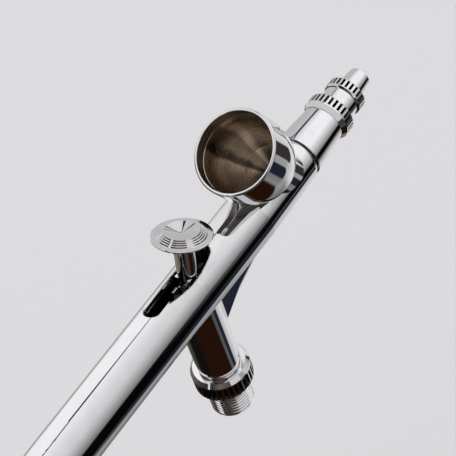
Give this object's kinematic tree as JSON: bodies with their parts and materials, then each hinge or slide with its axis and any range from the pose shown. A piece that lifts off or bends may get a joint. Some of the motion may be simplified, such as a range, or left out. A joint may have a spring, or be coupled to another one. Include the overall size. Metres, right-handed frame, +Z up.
{
  "type": "airbrush gun",
  "caption": "Slim dual-action airbrush gun with a tilted open colour cup, a round finger button, a needle along its barrel and an air inlet below.",
  "frame": {"origin": "on the air inlet's axis, at the end of its thread, where the hose screws on", "axes": "+X along the needle towards the nozzle, +Z up from the air inlet to the barrel, +Y to the left"},
  "size_m": [0.1545, 0.019, 0.0599],
  "materials": {
    "polished_chrome": "polished plate",
    "cup_chrome": "polished outside, finely turned inside",
    "trigger_chrome": "polished plate with turned steps",
    "steel": "ground",
    "nickel": "turned, satin",
    "brass": "turned",
    "black_rubber": "matt",
    "white_packing": "waxy"
  },
  "bodies": {
    "gun_body": {"main_body": "polished_chrome", "colour_cup": "cup_chrome", "front_head": "polished_chrome", "head_seal": "black_rubber", "nozzle_seal": "white_packing", "fluid_nozzle": "nickel", "nozzle_cap": "polished_chrome", "needle_cap": "polished_chrome", "needle_packing": "white_packing", "packing_screw": "brass", "spring_case": "nickel", "handle": "polished_chrome", "handle_plug": "polished_chrome", "valve_body": "polished_chrome", "valve_screw": "brass", "needle_spring": "steel", "valve_spring": "steel"},
    "plunger": {"valve_plunger": "nickel", "plunger_pin": "steel", "plunger_seal": "black_rubber", "valve_head": "brass", "valve_seal": "black_rubber"},
    "trigger": {"trigger": "trigger_chrome"},
    "needle_assembly": {"fluid_needle": "steel", "needle_guide": "nickel", "chuck_nut": "nickel", "lever_pin": "steel"},
    "lever": {"back_lever": "nickel"}
  },
  "joints": [
    {"name": "trigger_press", "type": "slide", "parent": "gun_body", "child": "plunger", "axis": [0, 0, -1], "range_m": [0, 0.0025], "stiffness_N_per_m": 800, "springref_m": -0.003, "deforming": ["valve_spring"]},
    {"name": "trigger_pull", "type": "hinge", "parent": "plunger", "child": "trigger", "pos_m": [0, 0, 0.0285], "axis": [0, -1, 0], "range_deg": [0, 15]},
    {"name": "needle_slide", "type": "slide", "parent": "gun_body", "child": "needle_assembly", "axis": [-1, 0, 0], "range_m": [0, 0.0024], "stiffness_N_per_m": 300, "springref_m": -0.005, "deforming": ["needle_spring"]},
    {"name": "lever_rock", "type": "hinge", "parent": "needle_assembly", "child": "lever", "pos_m": [-0.011, 0, 0.0346], "axis": [0, -1, 0], "range_deg": [0, 4.6]}
  ],
  "couplings": [
    {"joint": "trigger_pull", "follows": "needle_slide", "rad_per_m": 108.7},
    {"joint": "lever_rock", "follows": "needle_slide", "rad_per_m": 32.609}
  ]
}
